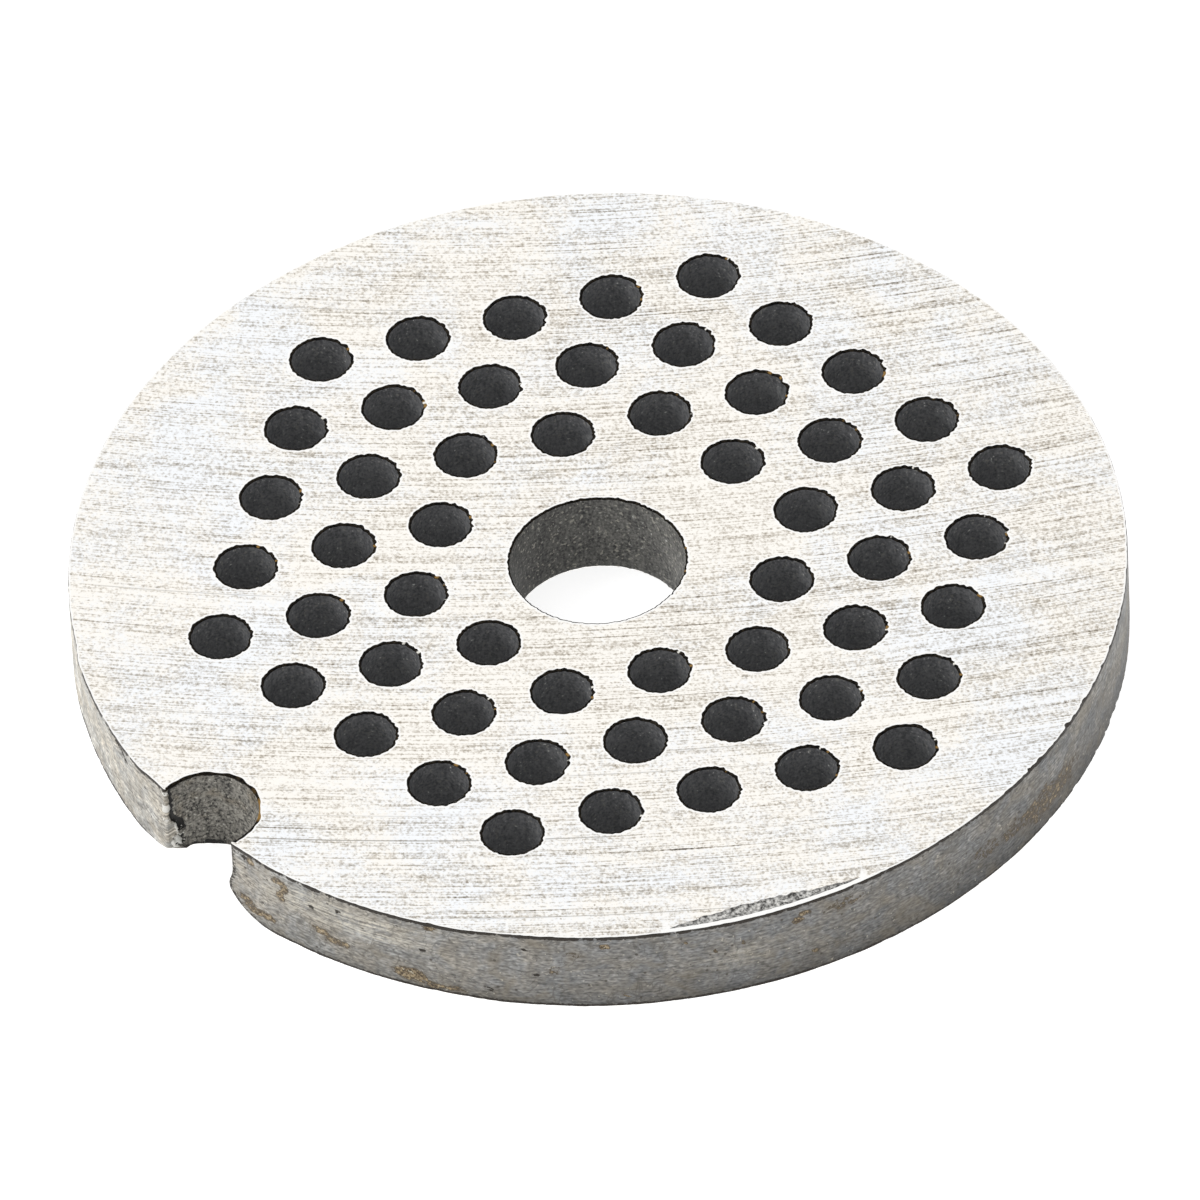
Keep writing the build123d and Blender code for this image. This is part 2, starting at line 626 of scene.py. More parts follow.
def edge_loop(shell, z, back, inset=0.0):
    """One ring of the plate's edge. With an inset it lies on the face, inside the polished line."""
    ring = []
    for i, (point, outward) in enumerate(outline(z)):
        in_notch = LEFT_END <= i < NOTCH_END
        by_strip = RAW_START - 1 < degrees(atan2(point.y, point.x)) < RAW_END + 1
        shift, rust, grime_and_shadow = (notch_wear if in_notch else rim_wear)(point, z, back)
        if inset:
            # The polished line narrows towards the mouth's corners
            nearest = min(abs(from_corner(i, side)) for side in (1, -1))
            in_corner = RIM_END <= i < LEFT_END or i >= NOTCH_END
            width = STRIP_HALO_WIDTH if by_strip else inset
            shift -= LEAST_HALO if in_corner else min(width, LEAST_HALO + 0.45 * nearest)
        # The tear's black is painted shadow
        torn, tear_shadow, bare = tear(i, z)
        place = point + outward * (shift + torn) - Vector((lip(i, z), 0))
        lift = KNOCK_LIFT * smooth(LIFT_HEIGHT, 0.0, z) * bump(from_corner(i, -1) - 0.5, LIFT_REACH)
        halo = 1.0 if z == THICKNESS and (not inset or by_strip) else 0.0
        if i >= NOTCH_END or i < 2:
            grime_and_shadow = max(grime_and_shadow, RIGHT_CORNER_BLACKNESS)
        ring.append(shell.point(place.x, place.y, z + lift, rust, max(grime_and_shadow, tear_shadow), bare, halo))
    return ring


def edge_slot(k):
    """What gives the slot of quad number i in band k of the edge."""
    middle = (RINGS[k][0] + RINGS[k + 1][0]) / 2

    def slot_of(i):
        # The top edge round the notch takes the black line of dark burr and painted shadow
        if k < BURR_AND_SHADOW_BANDS and i >= LEFT_END - 2:
            return BURR_AND_SHADOW
        past_tear = from_corner(i + 0.5, -1) > dragged_to(middle)
        return SAWN if LEFT_END <= i < NOTCH_END and past_tear else TURNED

    return slot_of


# ---- Holes ----


def frayed(radius, count, seed):
    """How far a hole's edge stands out of round at each point, and how much of a burr hangs there."""
    shifts = []
    burrs = []
    for i in range(count):
        a = -2 * pi * i / count
        x = cos(a) * radius
        y = sin(a) * radius
        # The wheel pushed up a burr and tore small chips on the side where it left the hole
        trailing = max(cos(a - radians(BURR_SIDE)), 0)
        fine = rough(x * 5.5, y * 5.5, 0, seed)
        chip = rough(x * 2.2, y * 2.2, 1, seed + 0.5)
        shifts.append(FRAY * (fine * (0.7 + 0.6 * trailing) + 0.9 * chip * trailing))
        burrs.append(smooth(0.25, 0.5, rough(x * 4.0, y * 4.0, 2, seed + 0.7) * trailing))
    return shifts, burrs


def hole(shell, centre, radius, count, seed, levels):
    """A hole's rings from the face down. levels are (height, radius added, share of the fray, halo)."""
    shifts, burrs = frayed(radius, count, seed)
    rings = []
    for z, more, share, halo in levels:
        ring = []
        for i in range(count):
            a = -2 * pi * i / count
            reach = radius + more + share * shifts[i]
            at_burr = burrs[i] if z > THICKNESS - 0.05 and more < 0.1 else 0.0
            gold = rough(cos(a) * 4, sin(a) * 4, 5, seed) > -0.1
            x = centre.x + reach * cos(a)
            y = centre.y + reach * sin(a)
            ring.append(shell.point(x, y, z, at_burr * gold, 0.0, at_burr * (1 - gold), halo))
        rings.append(ring)
    return rings


# Levels of a meat hole and of the bore: height, radius added, share of the fray, halo
HOLE_LEVELS = [
    (THICKNESS, 0.24, 0.3, 0.0),
    (THICKNESS, 0.05, 1.0, 1.0),
    (THICKNESS - 0.02, -0.08, 0.7, 0.0),
    (THICKNESS - 0.08, -0.09, 0.5, 0.0),
    (THICKNESS - 0.20, -0.085, 0.1, 0.0),
    (0.12, -0.08, 0.1, 0.0),
    (0.0, 0.01, 0.8, 0.0),
]
BORE_LEVELS = [
    (THICKNESS, 0.24, 0.3, 0.0),
    (THICKNESS, 0.04, 0.9, 1.0),
    (THICKNESS - 0.03, -0.04, 0.7, 0.0),
    (THICKNESS - 0.09, -0.06, 0.5, 0.0),
    (THICKNESS - 0.22, -0.06, 0.1, 0.0),
    (4.0, -0.05, 0.3, 0.0),
    (3.2, -0.05, -0.3, 0.0),
    (2.4, -0.05, 0.2, 0.0),
    (1.6, -0.05, -0.2, 0.0),
    (0.8, -0.05, 0.1, 0.0),
    (0.12, -0.05, 0.1, 0.0),
    (0.05, -0.03, 0.3, 0.0),
    (0.0, 0.02, 0.6, 0.0),
]


def hole_bands(shell, rings, slot):
    """The walls of a hole: a polished ring on the face, a black edge of dark burr and painted shadow, then
    the wall.
    """
    for k in range(len(rings) - 1):
        kind = GROUND if k == 0 else BURR_AND_SHADOW if k in (1, 2) else slot
        shell.band(rings[k], rings[k + 1], lambda i, kind=kind: kind, flat=k == 0)


def raw_strip(shell):
    """The loop round the unground strip, and the grit inside it."""
    span = radians(RAW_END - RAW_START) * RAW_OUTER_RADIUS
    count = ceil(span / RAW_SPACING)
    outer = []
    inner = []
    loose = []
    for i in range(count + 1):
        t = i / count
        a = radians(RAW_START + (RAW_END - RAW_START) * t)
        swell = RAW_WIDTH * max(sin(pi * t ** 0.86), 0) ** 1.15
        swell += 0.03 + 0.13 * rough(t * 26, 0, 0, 31) * min(10 * t, 10 - 10 * t, 1)
        ragged = 0.03 * rough(t * 34, 3, 0, 32)
        out = RAW_OUTER_RADIUS + ragged
        inn = out - max(swell, 0.03)
        outer.append(shell.point(out * cos(a), out * sin(a), THICKNESS, grime_and_shadow=0.35, halo=1.0))
        if i in (0, count):
            continue
        inner.append(shell.point(inn * cos(a), inn * sin(a), THICKNESS, grime_and_shadow=0.6))
        steps = int((out - inn) / RAW_SPACING)
        for k in range(1, steps):
            r = inn + (out - inn) * k / steps
            x = r * cos(a)
            y = r * sin(a)
            grit = RAW_GRIT * rough(x * 5, y * 5, 0, 33)
            loose.append(shell.point(x, y, THICKNESS - RAW_DEPTH + grit))
    return outer + inner[::-1], loose


def face_filler(shell, z, blocked, seed):
    """Loose points over a face, which keep its triangles even."""
    chance = random.Random(seed)
    points = []
    rows = int(2 * PLATE_RADIUS / FACE_SPACING)
    for row in range(rows):
        for column in range(rows):
            x = -PLATE_RADIUS + (column + 0.5 * (row % 2)) * FACE_SPACING
            x += chance.uniform(-FILLER_STRAY, FILLER_STRAY)
            y = -PLATE_RADIUS + row * FACE_SPACING * 0.9
            y += chance.uniform(-FILLER_STRAY, FILLER_STRAY)
            spot = Vector((x, y))
            clear = NOTCH_RADIUS + FILLER_FROM_NOTCH
            if spot.length > PLATE_RADIUS - FILLER_FROM_RIM or hypot(x, y - NOTCH_CENTRE_Y) < clear:
                continue
            if abs(x) < clear and y < NOTCH_CENTRE_Y + 1:
                continue
            if all((spot - centre).length > radius + FILLER_FROM_HOLE for centre, radius in blocked):
                points.append(shell.point(x, y, z))
    return points


def plate_mesh(name, materials):
    """The whole plate as one closed shell."""
    shell = Shell()
    edge = [edge_loop(shell, z, back) for z, back in RINGS]
    for k in range(len(edge) - 1):
        shell.band(edge[k], edge[k + 1], edge_slot(k))
    face_edge = edge_loop(shell, THICKNESS, TOP_STEPS[0][1], HALO_WIDTH)
    shell.band(face_edge, edge[0], lambda i: GROUND, flat=True)
    centres = hole_centres()
    bores = [hole(shell, Vector((0, 0)), BORE_RADIUS, BORE_POINTS, 40, BORE_LEVELS)]
    hole_bands(shell, bores[0], BORED)
    for number, centre in enumerate(centres):
        rings = hole(shell, centre, HOLE_RADIUS, HOLE_POINTS, 50 + number, HOLE_LEVELS)
        hole_bands(shell, rings, DRILLED)
        bores.append(rings)
    blocked = [(Vector((0, 0)), BORE_RADIUS)] + [(centre, HOLE_RADIUS) for centre in centres]
    strip, grit = raw_strip(shell)
    top_filler = face_filler(shell, THICKNESS, blocked, 1)
    low_filler = face_filler(shell, 0.0, blocked, 2)
    shell.patch(face_edge, [rings[0] for rings in bores], grit + top_filler, True, strip)
    shell.patch(edge[-1], [rings[-1] for rings in bores], low_filler, False)
    return shell.build(name, materials)


# ---- Materials ----

# The direction on the plate that is the photograph's right
PICTURE_RIGHT = (0.63, 0.78)


class Nodes:
    """A node tree, with short names for the nodes that it is made of."""

    def __init__(self, tree):
        self.tree = tree
        tree.nodes.clear()

    def add(self, kind, inputs=None, **settings):
        node = self.tree.nodes.new(kind)
        for key, value in settings.items():
            setattr(node, key, value)
        for key, value in (inputs or {}).items():
            self.feed(node.inputs[key], value)
        return node

    def feed(self, socket, value):
        if isinstance(value, bpy.types.NodeSocket):
            self.tree.links.new(value, socket)
        else:
            socket.default_value = value

    def math(self, operation, first, second=0.0):
        return self.add("ShaderNodeMath", {0: first, 1: second}, operation=operation).outputs[0]

    def plus(self, first, second):
        return self.math("ADD", first, second)

    def minus(self, first, second):
        return self.math("SUBTRACT", first, second)

    def times(self, first, second):
        return self.math("MULTIPLY", first, second)

    def vector(self, x, y, z=0.0):
        return self.add("ShaderNodeCombineXYZ", {0: x, 1: y, 2: z}).outputs[0]

    def split(self, vector):
        return self.add("ShaderNodeSeparateXYZ", {0: vector}).outputs

    def noise(self, where, scale, detail=3.0, roughness=0.6, distortion=0.0):
        values = (where, scale, detail, roughness, distortion)
        names = ("Vector", "Scale", "Detail", "Roughness", "Distortion")
        return self.add("ShaderNodeTexNoise", dict(zip(names, values))).outputs["Fac"]

    def stretched(self, first, second, scales, detail=3.0, roughness=0.6, shift=0.0):
        """Noise over two coordinates with a scale for each. A shift moves it to another place."""
        where = self.vector(self.times(first, scales[0]), self.times(second, scales[1]), shift)
        return self.noise(where, 1.0, detail, roughness)

    def level(self, value, low, high, to_low=0.0, to_high=1.0):
        """value stretched so that low becomes to_low and high becomes to_high, held between them."""
        inputs = {"Value": value, "From Min": low, "From Max": high, "To Min": to_low, "To Max": to_high}
        return self.add("ShaderNodeMapRange", inputs).outputs[0]

    def turning(self, angle, start, end, to_start=0.0, to_end=1.0):
        """The same for an angle, with its ends in degrees."""
        return self.level(angle, radians(start), radians(end), to_start, to_end)

    def ragged(self, value, grain, swing):
        """value with its edges made ragged by a grain."""
        return self.plus(value, self.times(self.minus(grain, 0.5), swing))

    def rightward(self, x, y):
        """How far to the right of the axis a place is in the photograph, in millimetres."""
        return self.plus(self.times(x, PICTURE_RIGHT[0]), self.times(y, PICTURE_RIGHT[1]))

    def wear(self, kind):
        return self.add("ShaderNodeAttribute", attribute_name=kind).outputs["Fac"]

    def mix(self, factor, first, second):
        node = self.add("ShaderNodeMix", data_type="RGBA")
        self.feed(node.inputs["Factor"], factor)
        self.feed(node.inputs["A"], first)
        self.feed(node.inputs["B"], second)
        return node.outputs["Result"]

    def cover(self, colour, other, value, low, high, share=1.0):
        """other laid over colour: none of it where value is low, and that share where it is high."""
        return self.mix(self.level(value, low, high, 0.0, share), colour, other)

    def tinted(self, colour, tint):
        """colour times a tint."""
        return self.add("ShaderNodeVectorMath", {0: colour, 1: tint}, operation="MULTIPLY").outputs[0]

    def darker(self, colour, tone):
        """colour times a grey tone."""
        return self.tinted(colour, self.vector(tone, tone, tone))


class Paint(Nodes):
    """One procedural material of the plate."""

    def __init__(self, name):
        self.material = bpy.data.materials.new(name)
        self.material.use_nodes = True
        super().__init__(self.material.node_tree)
        self.shader = self.add("ShaderNodeBsdfPrincipled")
        self.add("ShaderNodeOutputMaterial", {"Surface": self.shader.outputs[0]})
        place = self.add("ShaderNodeTexCoord").outputs["Object"]
        self.mm = self.add("ShaderNodeVectorMath", {0: place, "Scale": 1 / MM}, operation="SCALE").outputs[0]

    def finish(self, colour, metallic, roughness, height=None, depth=0.0, specular=0.5):
        """Sets the shader. depth is the height of the relief, in millimetres."""
        inputs = {"Base Color": colour, "Metallic": metallic, "Roughness": roughness}
        inputs["Specular IOR Level"] = specular
        if height is not None:
            relief = self.add("ShaderNodeBump", {"Height": height, "Distance": depth * MM})
            inputs["Normal"] = relief.outputs[0]
        for name, value in inputs.items():
            self.feed(self.shader.inputs[name], value)
        return self.material


FACE_BLUE = (0.955, 0.975, 1.0, 1)
FACE_STRAW = (1.0, 0.972, 0.918, 1)
FACE_SCRATCH = (0.13, 0.115, 0.095, 1)
FACE_SPECK = (0.24, 0.19, 0.12, 1)
FACE_POLISHED = (0.99, 0.985, 0.97, 1)

# The lightest that the face gets, and the powers of its tone that red and blue follow, to brown the dark
FACE_LIGHTEST = 0.985
RED_POWER = 0.91
BLUE_POWER = 1.13


def ground_steel():
    """Ground face: near-white steel, scored in arcs by the wheel, with blue and straw-coloured patches."""
    paint = Paint("ground_face")
    x, y = paint.split(paint.mm)[:2]
    off_x = paint.minus(x, GRIND_CENTRE[0])
    off_y = paint.minus(y, GRIND_CENTRE[1])
    radius = paint.math("SQRT", paint.plus(paint.times(off_x, off_x), paint.times(off_y, off_y)))
    angle = paint.math("ARCTAN2", off_y, off_x)
    along = paint.times(angle, GRIND_RADIUS)
    speckle = paint.noise(paint.mm, 6.2, detail=1.0)
    score = paint.stretched(radius, along, (11.0, 0.30), detail=2.0)
    long_score = paint.stretched(radius, along, (9.0, 0.035), roughness=0.7, shift=4.0)
    broad = paint.stretched(radius, along, (1.6, 0.03), detail=2.0, roughness=0.5, shift=9.0)
    hair = paint.stretched(radius, along, (8.0, 0.06), detail=1.0, roughness=0.5, shift=14.0)
    cloud = paint.noise(paint.mm, 0.14)
    # Painted shade: the face is darker towards the photograph's right, away from the light
    tone = paint.level(paint.rightward(x, y), -PLATE_RADIUS, PLATE_RADIUS, *FACE_SHADE_TONE)
    for part, reach in ((speckle, 0.45), (score, 0.41), (long_score, 0.48), (broad, 0.15), (cloud, 0.08)):
        tone = paint.plus(tone, paint.level(part, 0.2, 0.8, -reach, reach))
    tone = paint.minus(tone, paint.level(hair, 0.25, 0.36, 0.34, 0.0))
    tone = paint.math("MINIMUM", tone, FACE_LIGHTEST)
    # Blue and straw-coloured patches, with more straw round the bore
    patches = paint.noise(paint.mm, 0.17, detail=4.0, distortion=0.6)
    fine = paint.noise(paint.mm, 4.5, detail=1.0, roughness=0.5)
    hue = paint.plus(paint.times(patches, 0.75), paint.times(fine, 0.25))
    from_axis = paint.add("ShaderNodeVectorMath", {0: paint.vector(x, y)}, operation="LENGTH")
    hue = paint.plus(hue, paint.level(from_axis.outputs["Value"], 6, 20, 0.09, 0.0))
    colour = paint.cover(FACE_BLUE, FACE_STRAW, hue, 0.40, 0.58)
    red = paint.math("POWER", tone, RED_POWER)
    blue = paint.math("POWER", tone, BLUE_POWER)
    colour = paint.tinted(colour, paint.vector(red, tone, blue))
    broken = paint.level(speckle, 0.3, 0.6, 0.55, 1.0)
    for ring, start, end, width, strength in SCRATCHES:
        off = paint.math("ABSOLUTE", paint.minus(radius, ring))
        line = paint.level(off, width, 0.4 * width, 0.0, strength)
        line = paint.times(line, paint.turning(angle, start, start + SCRATCH_IN))
        line = paint.times(line, paint.turning(angle, end, end - SCRATCH_OUT))
        colour = paint.mix(paint.times(line, broken), colour, FACE_SCRATCH)
    specks = paint.level(paint.noise(paint.mm, 3.1, detail=1.0, roughness=0.4), 0.77, 0.80)
    colour = paint.mix(paint.times(specks, 0.6), colour, FACE_SPECK)
    colour = paint.cover(colour, FACE_POLISHED, paint.wear("halo"), 0.2, 0.7, 0.9)
    height = paint.plus(score, paint.times(speckle, 0.5))
    height = paint.plus(height, long_score)
    roughness = paint.level(score, 0.3, 0.7, 0.42, 0.30)
    return paint.finish(colour, metallic=1.0, roughness=roughness, height=height, depth=0.004)


SCALE = (0.035, 0.033, 0.030, 1)
SCALE_GRIT = (0.74, 0.73, 0.70, 1)
SCALE_GRIME = (0.02, 0.018, 0.015, 1)


def raw_steel():
    """Metal that the wheel never reached: dark, coarse scale with bright grit."""
    paint = Paint("unground_metal")
    grain = paint.noise(paint.mm, 5.0, detail=2.0, roughness=0.7)
    colour = paint.cover(SCALE, SCALE_GRIT, grain, 0.38, 0.66)
    colour = paint.mix(paint.times(paint.wear("grime_and_shadow"), 0.8), colour, SCALE_GRIME)
    return paint.finish(colour, metallic=0.2, roughness=0.55, height=grain, depth=0.03)


# The wall's metal on the left and on the right: partly its own colour, partly painted light and painted
# shade
WALL_LIGHT_AND_LIT = (0.50, 0.475, 0.425, 1)
WALL_DARK_AND_SHADED = (0.190, 0.186, 0.178, 1)
WALL_BLUER = (0.965, 0.995, 1.035, 1)
WALL_BROWNER = (1.035, 1.0, 0.940, 1)
WALL_FILM = (0.21, 0.175, 0.12, 1)
WALL_TIDE_MARK = (0.085, 0.080, 0.070, 1)
WALL_SCRATCH = (0.055, 0.050, 0.044, 1)
WALL_SCORED = (0.66, 0.62, 0.53, 1)
WALL_FLECK = (0.60, 0.56, 0.47, 1)
WALL_PIT = (0.06, 0.05, 0.04, 1)
WALL_GRIME_AND_SHADOW = (0.018, 0.013, 0.008, 1)
WALL_BARE = (0.74, 0.73, 0.69, 1)
RUST_TINT = (0.180, 0.135, 0.080, 1)
RUST_OUTLINE = (0.065, 0.046, 0.025, 1)
RUST_DARK = (0.055, 0.035, 0.017, 1)
RUST_TAN = (0.390, 0.305, 0.185, 1)
RUST_CHIP = (0.62, 0.57, 0.44, 1)

# The direction in which the wall is darkest, partly its darker metal and partly painted shade away from the
# light
DARKEST_SHADED_ANGLE = -5


class WallPaint(Paint):
    """Paint for the turned wall, with the coordinates and the noise that its layers share."""

    def __init__(self, name):
        super().__init__(name)
        x, y, self.z = self.split(self.mm)
        # Angles run from -90 to 270, so that the seam lies in the notch
        self.angle = self.plus(self.math("ARCTAN2", self.times(x, -1.0), y), pi / 2)
        self.along = self.times(self.angle, PLATE_RADIUS)
        self.unrolled = self.vector(self.along, self.z)
        self.streaks = self.stretched(self.along, self.z, (0.7, 6.0), roughness=0.65)
        self.cloud = self.noise(self.unrolled, 0.8, detail=4.0, distortion=0.6)
        self.grain = self.noise(self.mm, 5.5, roughness=0.7)
        self.fine = self.noise(self.mm, 4.5, detail=1.0, roughness=0.5)
        # 1 from the right-hand side on, round the back to the notch's left
        self.past_front = self.turning(self.angle, 2, 18)


def wall_metal(paint):
    """The wall's metal: clouded, light on the left, and darker to the right and towards the foot, partly its
    own colour and partly painted shade.
    """
    # Light on the left and darker to the right, partly the metal and partly painted shade away from the
    # light
    side = paint.math("COSINE", paint.minus(paint.angle, radians(DARKEST_SHADED_ANGLE)))
    colour = paint.cover(WALL_LIGHT_AND_LIT, WALL_DARK_AND_SHADED, side, -0.5, 0.85)
    # Painted shade: darker towards the foot, with a touch of painted light higher up
    shade = paint.level(paint.z, 0.5, 2.6, 0.82, 1.05)
    shade = paint.times(shade, paint.level(paint.z, 0.0, 0.7, 0.60, 1.0))
    # Painted shade towards the foot, which the back and the wall to the notch's left don't get
    front = paint.turning(paint.angle, 200, 130)
    shade = paint.plus(1.0, paint.times(front, paint.minus(shade, 1.0)))
    # Painted shade: the right-hand side is darkest, more so towards its foot
    right_foot_shade = paint.times(paint.turning(paint.angle, -25, 22), paint.level(paint.z, 0.4, 3.4, 0.50, 0.0))
    right_foot_shade = paint.times(right_foot_shade, paint.turning(paint.angle, 180, 90))
    shade = paint.times(shade, paint.minus(1.0, right_foot_shade))
    tone = paint.level(paint.streaks, 0.25, 0.75, 0.64, 1.36)
    # The clouds differ more past the front
    least = paint.level(paint.past_front, 0, 1, 0.76, 0.60)
    most = paint.level(paint.past_front, 0, 1, 1.24, 1.40)
    tone = paint.times(tone, paint.level(paint.cloud, 0.3, 0.7, least, most))
    coarse = paint.stretched(paint.along, paint.z, (3.4, 7.5), detail=1.5, roughness=0.5)
    tone = paint.times(tone, paint.level(coarse, 0.28, 0.72, 0.50, 1.50))
    colour = paint.darker(colour, paint.times(tone, shade))
    patches = paint.noise(paint.unrolled, 0.55, detail=4.0, roughness=0.65, distortion=0.5)
    return paint.tinted(colour, paint.cover(WALL_BLUER, WALL_BROWNER, patches, 0.40, 0.60))


def wall_marks(paint, colour):
    """A brown film, tide marks, slanting scratches, scored zones, flecks and pits over the wall's metal."""
    film = paint.noise(paint.unrolled, 0.6, distortion=0.8)
    colour = paint.cover(colour, WALL_FILM, film, 0.50, 0.66, 0.35)
    tide = paint.noise(paint.unrolled, 0.45, distortion=1.2)
    tide = paint.level(paint.math("ABSOLUTE", paint.minus(tide, 0.5)), 0.005, 0.020, 0.55, 0.0)
    tide = paint.times(tide, paint.level(paint.cloud, 0.38, 0.48))
    colour = paint.mix(tide, colour, WALL_TIDE_MARK)
    # Slanting dark scratches on the right-hand side
    over = paint.minus(paint.along, paint.z)
    down = paint.plus(paint.along, paint.z)
    scratch = paint.stretched(over, down, (4.5, 0.5), detail=1.0, roughness=0.5, shift=7.0)
    scratch = paint.level(scratch, 0.66, 0.73, 0.0, 0.65)
    scratch = paint.times(scratch, paint.times(paint.past_front, paint.turning(paint.angle, 80, 50)))
    colour = paint.mix(scratch, colour, WALL_SCRATCH)
    # The scored zones: broken light lines
    line = paint.stretched(paint.along, paint.z, (0.45, 6.0), roughness=0.7, shift=3.0)
    line = paint.level(line, 0.46, 0.60)
    line = paint.times(line, paint.level(paint.grain, 0.38, 0.55, 0.25, 1.0))
    from_start, from_end, from_foot, from_top = SCORED_FADES
    for start, end, low, high, strength in SCORED:
        zone = paint.level(paint.z, low, low + from_foot)
        zone = paint.times(zone, paint.level(paint.z, high, high - from_top))
        zone = paint.times(zone, paint.turning(paint.angle, start, start + from_start, 0.0, strength))
        zone = paint.times(zone, paint.turning(paint.angle, end, end - from_end))
        colour = paint.mix(paint.times(line, zone), colour, WALL_SCORED)
    colour = paint.cover(colour, WALL_FLECK, paint.fine, 0.71, 0.77, 0.5)
    cells = paint.add("ShaderNodeTexVoronoi", {"Vector": paint.mm, "Scale": 1.35}).outputs["Distance"]
    return paint.mix(paint.level(cells, 0.09, 0.13, 0.8, 0.0), colour, WALL_PIT)


def wall_stains(paint, colour):
    """Rust, the edges' grime with painted shadow in the torn corner, and torn bare metal, from the wear at
    the mesh's points.
    """
    # A stain is a soft brown tint, then a dark outline and mottled tan where the rust is strong
    rust = paint.wear("rust")
    rust_grain = paint.noise(paint.mm, 3.2, roughness=0.7)
    stain = paint.times(paint.ragged(rust, rust_grain, 2.2), paint.level(rust, 0.05, 0.3))
    mottled = paint.cover(RUST_DARK, RUST_TAN, paint.grain, 0.43, 0.59)
    colour = paint.mix(paint.times(rust, 0.40), colour, RUST_TINT)
    colour = paint.cover(colour, RUST_OUTLINE, stain, 0.26, 0.36, 0.80)
    colour = paint.cover(colour, mottled, stain, 0.50, 0.66, 0.90)
    chips = paint.times(paint.level(stain, 0.55, 0.7), paint.level(paint.fine, 0.60, 0.66, 0.0, 0.70))
    chips = paint.times(chips, paint.level(rust, 0.72, 0.95, 0.25, 1.0))
    colour = paint.mix(chips, colour, RUST_CHIP)
    # Grime and the edges' black lines, with painted shadow in the torn corner
    grime_and_shadow = paint.ragged(paint.wear("grime_and_shadow"), paint.grain, 1.3)
    colour = paint.cover(colour, WALL_GRIME_AND_SHADOW, grime_and_shadow, 0.36, 0.50, 0.97)
    bare = paint.wear("bare")
    torn = paint.level(paint.ragged(bare, paint.grain, 2.2), 0.44, 0.56)
    return paint.mix(paint.times(torn, paint.level(bare, 0.02, 0.2)), colour, WALL_BARE)


def turned_steel():
    """The turned outer wall: grey, scored light in places, clouded, pitted, stained and rusted."""
    paint = WallPaint("turned_wall")
    colour = wall_stains(paint, wall_marks(paint, wall_metal(paint)))
    height = paint.plus(paint.times(paint.streaks, 0.5), paint.grain)
    roughness = paint.level(paint.grain, 0.3, 0.7, 0.45, 0.6)
    return paint.finish(colour, metallic=0.45, roughness=roughness, height=height, depth=0.02)


NOTCH_DARK = (0.024, 0.023, 0.021, 1)
NOTCH_LIGHT = (0.33, 0.315, 0.28, 1)
HOLE_DARK = (0.080, 0.082, 0.087, 1)
HOLE_LIGHT = (0.190, 0.191, 0.195, 1)
BORE_DARK = (0.045, 0.045, 0.045, 1)
BORE_LIGHT = (0.275, 0.27, 0.25, 1)
CUT_FLECK = (0.50, 0.48, 0.42, 1)
CUT_RUST = (0.22, 0.15, 0.055, 1)
CUT_GRIME_AND_SHADOW = (0.005, 0.005, 0.005, 1)
CUT_BARE = (0.80, 0.80, 0.76, 1)


def cut_steel(name, dark, light, streak, contrast, speck, deep, left=1.0):
    """A dark cut wall, streaked from face to face, with bright specks where the scale has chipped.

    deep is how light it is in the middle of its depth, painted light against the shade inside, and left how
    light its left side is, under painted shade.
    """
    paint = Paint(name)
    x, y, z = paint.split(paint.mm)
    column = paint.vector(paint.times(x, streak), paint.times(y, streak), paint.times(z, 1.4))
    streaks = paint.noise(column, 1.0)
    grain = paint.noise(paint.mm, 6.5, detail=1.5)
    cloud = paint.noise(paint.mm, 1.0, detail=2.0, roughness=0.5)
    blend = paint.plus(paint.times(streaks, 0.28), paint.times(grain, 0.55))
    blend = paint.plus(blend, paint.times(cloud, 0.17))
    colour = paint.cover(dark, light, blend, 0.5 - contrast, 0.5 + contrast)
    # Painted light: lighter towards the middle of its depth, against the shade inside the cut
    from_middle = paint.math("ABSOLUTE", paint.minus(z, THICKNESS / 2))
    colour = paint.darker(colour, paint.level(from_middle, 0, THICKNESS / 2, deep, 1.0))
    # Painted shade: the left side darker, turned away from the light
    if left < 1:
        colour = paint.darker(colour, paint.level(paint.rightward(x, y), -BORE_RADIUS, 0, left, 1.0))
    flecks = paint.noise(paint.mm, 5.5, detail=1.0, roughness=0.4)
    colour = paint.cover(colour, CUT_FLECK, flecks, 0.64, 0.70, speck)
    rust = paint.times(paint.wear("rust"), paint.level(grain, 0.3, 0.6))
    colour = paint.mix(paint.times(rust, 0.7), colour, CUT_RUST)
    # Grime, with painted shadow in the torn corner's gouge
    colour = paint.cover(colour, CUT_GRIME_AND_SHADOW, paint.ragged(paint.wear("grime_and_shadow"), grain, 0.8), 0.35, 0.50, 0.97)
    colour = paint.cover(colour, CUT_BARE, paint.ragged(paint.wear("bare"), grain, 2.2), 0.44, 0.56)
    height = paint.plus(streaks, paint.times(grain, 0.6))
    return paint.finish(colour, metallic=0.0, roughness=0.55, height=height, depth=0.015, specular=0.25)


# The black edge line: a dark burr, with painted shadow
BURR_AND_SHADOW_BLACK = (0.003, 0.003, 0.003, 1)
BURR_AND_SHADOW_BROWN = (0.030, 0.023, 0.015, 1)
EDGE_FLAKE_GOLD = (0.26, 0.155, 0.05, 1)
EDGE_FLAKE_BARE = (0.78, 0.76, 0.70, 1)


